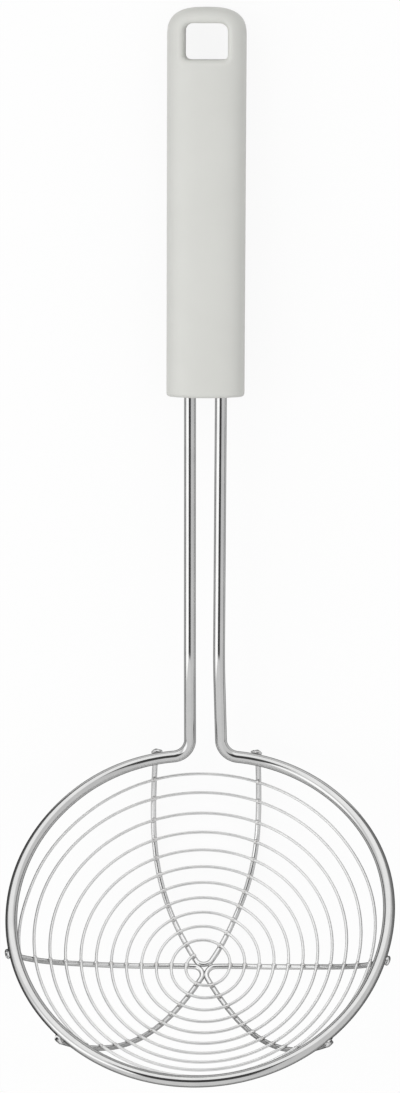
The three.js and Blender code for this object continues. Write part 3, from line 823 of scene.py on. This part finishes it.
handle_points, handle_faces = moulded_skin()
handle_mesh = bpy.data.meshes.new("handle_moulded")
handle_mesh.from_pydata(as_it_lies(in_ring_frame(handle_points)).tolist(), [], handle_faces.tolist())
handle_mesh.shade_smooth()
slope_tips = as_it_lies(in_ring_frame(handle_points + depth_slope(handle_points)))
way_out = unit(slope_tips - as_it_lies(in_ring_frame(handle_points)))
handle_mesh.normals_split_custom_set_from_vertices(way_out.tolist())
handle_piece = add_piece("handle_moulded", handle_mesh, matt_plastic())
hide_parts("handle")

# The floor, the light and the camera: a plain white sheet, a soft studio with a wall of light behind, a
# brighter one on the left, grey walls on the right and in front and a dark ceiling round the camera, and
# cards from dark to pale beside the picture, which draw the wires' edges. A long lens looks down on it.
FLOOR_HALF_SIZE = 30000.0
FLOOR_COLOUR = (0.33, 0.33, 0.33)
FLOOR_WHITE = (0.95, 0.95, 0.95)
FLOOR_GLOW = 0.9
PICTURE_HALF_WIDTH = 70.0
PICTURE_HALF_HEIGHT = 192.0
CARD_REACH = 900.0
CARD_HEIGHT = 0.3
CARD_TONES = {"front": 0.55, "right": 0.33, "back": 0.1, "left": 0.15}
FRONT_WALL = 1.02
RIGHT_WALL = 0.93
RIGHT_WALL_BEARING = 5.0
RIGHT_WALL_SPAN = (45.0, 75.0)
BACK_WALL = 1.45
BACK_WALL_BEARING = 100.0
BACK_WALL_SPAN = (25.0, 50.0)
LEFT_LIGHT = 1.85
LEFT_LIGHT_BEARING = 187.0
LEFT_LIGHT_SPAN = (14.0, 24.0)
LEFT_LIGHT_FOOT = (15.0, 22.0)
DARK_SKIRTING = 0.25
DARK_SKIRTING_TOP = (1.0, 6.0)
DARK_CEILING = 0.08
DARK_CEILING_FOOT = (20.0, 25.0)
DARK_CEILING_LEFT_EDGE = (-0.47, -0.36)
DARK_CEILING_RIGHT_EDGE = (0.42, 0.31)
DARK_CEILING_FRONT_EDGE = (-0.26, -0.13)
DARK_CEILING_BACK_EDGE = (0.8, 0.6)
LENS = 295.456
CAMERA_TURN = (-4.2412, 3.3791, 0.0850)
CAMERA_AIM = (-1.474, -3.227, 20.0)
CAMERA_DISTANCE = 3016.67
CAMERA_REACH = 100000.0


def flat_piece(name, corners, faces):
    """A flat piece of the studio, which is not part of the strainer."""
    mesh = bpy.data.meshes.new(name)
    mesh.from_pydata([[MM * value for value in corner] for corner in corners], [], faces)
    piece = bpy.data.objects.new(name, mesh)
    bpy.context.scene.collection.objects.link(piece)
    return piece


def plain_matt(name, colour):
    """An even colour without any gloss."""
    material = bpy.data.materials.new(name)
    material.use_nodes = True
    shader = material.node_tree.nodes["Principled BSDF"]
    shader.inputs["Base Color"].default_value = (*colour, 1.0)
    shader.inputs["Roughness"].default_value = 1.0
    shader.inputs["Specular IOR Level"].default_value = 0.0
    return material


def rectangle(half_width, half_height, height):
    """The corners of a level rectangle about the middle of the picture."""
    signs = ((-1.0, -1.0), (1.0, -1.0), (1.0, 1.0), (-1.0, 1.0))
    return [(x * half_width, y * half_height, height) for x, y in signs]


def feed(tree, socket, value):
    """A number set on a socket, or another socket joined to it."""
    if isinstance(value, float):
        socket.default_value = value
    else:
        tree.links.new(value, socket)


def reckoned(tree, operation, first, second):
    """What an operation makes of two values, each a number or a socket."""
    node = tree.nodes.new("ShaderNodeMath")
    node.operation = operation
    feed(tree, node.inputs[0], first)
    feed(tree, node.inputs[1], second)
    return node.outputs["Value"]


floor = flat_piece("floor", rectangle(FLOOR_HALF_SIZE, FLOOR_HALF_SIZE, 0.0), [(0, 1, 2, 3)])
floor_paper = plain_matt("floor_paper", FLOOR_COLOUR)
floor.data.materials.append(floor_paper)
paper_tree = floor_paper.node_tree
paper_shader = paper_tree.nodes["Principled BSDF"]
glow = paper_tree.nodes.new("ShaderNodeEmission")
ray = paper_tree.nodes.new("ShaderNodeLightPath")
seen = ray.outputs["Is Camera Ray"]
for other_ray in ("Is Glossy Ray", "Is Transmission Ray"):
    seen = reckoned(paper_tree, "MAXIMUM", seen, ray.outputs[other_ray])
paper_tone = two_tones(paper_tree, seen, FLOOR_COLOUR, FLOOR_WHITE)
paper_tree.links.new(paper_tone, paper_shader.inputs["Base Color"])
paper_mix = paper_tree.nodes.new("ShaderNodeMixShader")
paper_tree.links.new(reckoned(paper_tree, "MULTIPLY", seen, FLOOR_GLOW), paper_mix.inputs["Fac"])
paper_tree.links.new(paper_shader.outputs["BSDF"], paper_mix.inputs[1])
paper_tree.links.new(glow.outputs["Emission"], paper_mix.inputs[2])
paper_tree.links.new(paper_mix.outputs["Shader"], paper_tree.nodes["Material Output"].inputs["Surface"])

card_corners = rectangle(PICTURE_HALF_WIDTH, PICTURE_HALF_HEIGHT, CARD_HEIGHT)
card_corners += rectangle(CARD_REACH, CARD_REACH, CARD_HEIGHT)
cards = flat_piece("dark_cards", card_corners, [(i, 4 + i, 4 + (i + 1) % 4, (i + 1) % 4) for i in range(4)])
for number, (card_side, tone) in enumerate(CARD_TONES.items()):
    cards.data.materials.append(plain_matt("card_" + card_side, (tone, tone, tone)))
    cards.data.polygons[number].material_index = number
cards.visible_camera = False
cards.visible_diffuse = False
cards.visible_shadow = False
cards.visible_transmission = False


def smooth_step(tree, source, low, high):
    """A share that rises softly from nothing to all between two values."""
    node = tree.nodes.new("ShaderNodeMapRange")
    node.interpolation_type = "SMOOTHSTEP"
    node.inputs["From Min"].default_value = low
    node.inputs["From Max"].default_value = high
    tree.links.new(source, node.inputs["Value"])
    return node.outputs["Result"]


def facing(tree, source, way):
    """How much a direction agrees with a given one."""
    node = tree.nodes.new("ShaderNodeVectorMath")
    node.operation = "DOT_PRODUCT"
    node.inputs[1].default_value = Vector(way).normalized()
    tree.links.new(source, node.inputs[0])
    return node.outputs["Value"]


def level(tree, source):
    """A direction with its rise taken out."""
    flat = tree.nodes.new("ShaderNodeVectorMath")
    flat.operation = "MULTIPLY"
    flat.inputs[1].default_value = (1.0, 1.0, 0.0)
    tree.links.new(source, flat.inputs[0])
    whole = tree.nodes.new("ShaderNodeVectorMath")
    whole.operation = "NORMALIZE"
    tree.links.new(flat.outputs["Vector"], whole.inputs[0])
    return whole.outputs["Vector"]


def bearing(degrees):
    """A level direction, counted from the right side towards the back."""
    return math.cos(math.radians(degrees)), math.sin(math.radians(degrees)), 0.0


def within(tree, source, way, full, gone):
    """A share that is whole up to an angle from a direction and gone at a wider one."""
    near = math.cos(math.radians(full))
    far = math.cos(math.radians(gone))
    return smooth_step(tree, facing(tree, source, way), far, near)


def above(tree, source, gone, full):
    """A share that grows between two heights above the floor's edge, as angles."""
    low = math.sin(math.radians(gone))
    high = math.sin(math.radians(full))
    return smooth_step(tree, facing(tree, source, (0.0, 0.0, 1.0)), low, high)


def over(tree, source, way):
    """Where a direction meets a level ceiling, as a slope along one way."""
    return reckoned(tree, "DIVIDE", facing(tree, source, way), facing(tree, source, (0.0, 0.0, 1.0)))


def both(tree, first, second):
    """A share that is whole only where two shares are."""
    return reckoned(tree, "MULTIPLY", first, second)


def between(tree, share, first, second):
    """A brightness between two, each a number or a socket."""
    node = tree.nodes.new("ShaderNodeMix")
    node.data_type = "FLOAT"
    tree.links.new(share, node.inputs["Factor"])
    feed(tree, node.inputs["A"], first)
    feed(tree, node.inputs["B"], second)
    return node.outputs["Result"]


studio = bpy.data.worlds.new("studio")
studio.use_nodes = True
room = studio.node_tree
towards = room.nodes.new("ShaderNodeTexCoord").outputs["Generated"]
level_towards = level(room, towards)
on_the_right = within(room, level_towards, bearing(RIGHT_WALL_BEARING), *RIGHT_WALL_SPAN)
walls = between(room, on_the_right, FRONT_WALL, RIGHT_WALL)
at_the_back = within(room, level_towards, bearing(BACK_WALL_BEARING), *BACK_WALL_SPAN)
walls = between(room, at_the_back, walls, BACK_WALL)
left_window = within(room, level_towards, bearing(LEFT_LIGHT_BEARING), *LEFT_LIGHT_SPAN)
left_window = both(room, left_window, above(room, towards, *LEFT_LIGHT_FOOT))
walls = between(room, left_window, walls, LEFT_LIGHT)
walls = between(room, above(room, towards, *DARK_SKIRTING_TOP), DARK_SKIRTING, walls)
across_ceiling = over(room, towards, (1.0, 0.0, 0.0))
along_ceiling = over(room, towards, (0.0, 1.0, 0.0))
ceiling = smooth_step(room, across_ceiling, *DARK_CEILING_LEFT_EDGE)
ceiling = both(room, ceiling, smooth_step(room, across_ceiling, *DARK_CEILING_RIGHT_EDGE))
ceiling = both(room, ceiling, smooth_step(room, along_ceiling, *DARK_CEILING_FRONT_EDGE))
ceiling = both(room, ceiling, smooth_step(room, along_ceiling, *DARK_CEILING_BACK_EDGE))
ceiling = both(room, ceiling, above(room, towards, *DARK_CEILING_FOOT))
brightness = between(room, ceiling, walls, DARK_CEILING)
room.links.new(brightness, room.nodes["Background"].inputs["Strength"])
room.nodes["Background"].inputs["Color"].default_value = (1.0, 1.0, 1.0, 1.0)
bpy.context.scene.world = studio

camera_data = bpy.data.cameras.new("camera")
camera_data.lens = LENS
camera_data.clip_end = MM * CAMERA_REACH
camera = bpy.data.objects.new("camera", camera_data)
camera_turn = Euler([math.radians(angle) for angle in CAMERA_TURN])
camera.rotation_euler = camera_turn
camera.location = MM * (Vector(CAMERA_AIM) + camera_turn.to_matrix() @ Vector((0.0, 0.0, CAMERA_DISTANCE)))
bpy.context.scene.collection.objects.link(camera)
bpy.context.scene.camera = camera
bpy.context.scene.view_settings.view_transform = "Standard"
